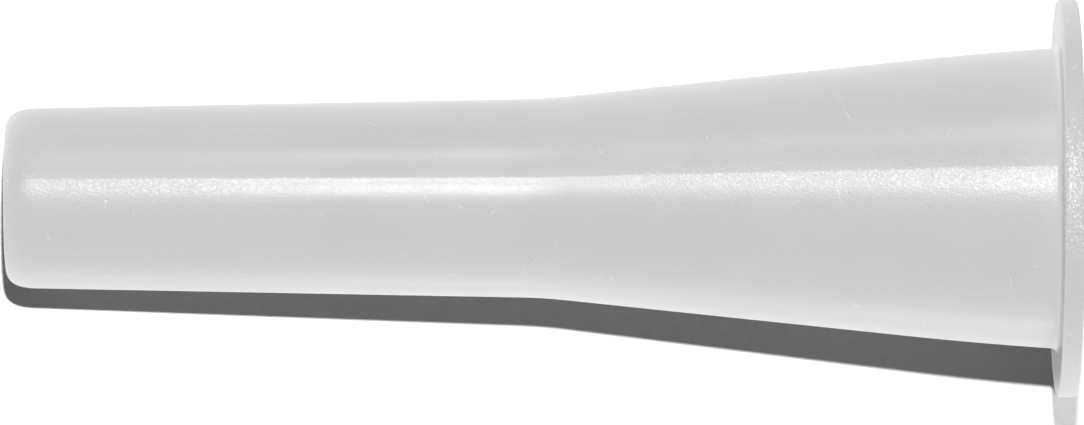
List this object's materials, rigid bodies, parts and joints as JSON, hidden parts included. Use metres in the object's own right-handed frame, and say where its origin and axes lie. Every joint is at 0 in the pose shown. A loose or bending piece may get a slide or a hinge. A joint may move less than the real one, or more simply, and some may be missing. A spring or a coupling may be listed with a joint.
{
  "type": "wall anchor",
  "caption": "Flanged plastic wall anchor: a flared collar, two hinged legs split by a slit, and a parked drive screw that spreads the legs as it goes in.",
  "frame": {"origin": "centre of the flange's bearing face, on the anchor's axis, in the plane of the wall's surface", "axes": "+X out of the wall along the anchor's axis, the sleeve running into the wall along -X; the slit between the legs lies in the XY plane, and the legs spread along +Z and -Z"},
  "size_m": [0.0381, 0.0142, 0.0142],
  "materials": {
    "natural_plastic": "natural uncoloured moulded plastic, satin, slightly translucent",
    "zinc_steel": "bright zinc plating"
  },
  "bodies": {
    "sleeve": {"flared_collar": "natural_plastic"},
    "front_leg": {"front_leg": "natural_plastic"},
    "rear_leg": {"rear_leg": "natural_plastic"},
    "screw": {"drive_screw": "zinc_steel"}
  },
  "joints": [
    {"name": "screw_drive", "type": "slide", "parent": "sleeve", "child": "screw", "axis": [-1, 0, 0], "range_m": [0, 0.004]},
    {"name": "front_leg_spread", "type": "hinge", "parent": "sleeve", "child": "front_leg", "pos_m": [-0.01824, 0, 0.00295], "axis": [0, 1, 0], "range_deg": [0, 3.2]},
    {"name": "rear_leg_spread", "type": "hinge", "parent": "sleeve", "child": "rear_leg", "pos_m": [-0.01824, 0, -0.00295], "axis": [0, -1, 0], "range_deg": [0, 3.2]}
  ],
  "couplings": [
    {"joint": "front_leg_spread", "follows": "screw_drive", "rad_per_m": 13.96},
    {"joint": "rear_leg_spread", "follows": "screw_drive", "rad_per_m": 13.96}
  ]
}
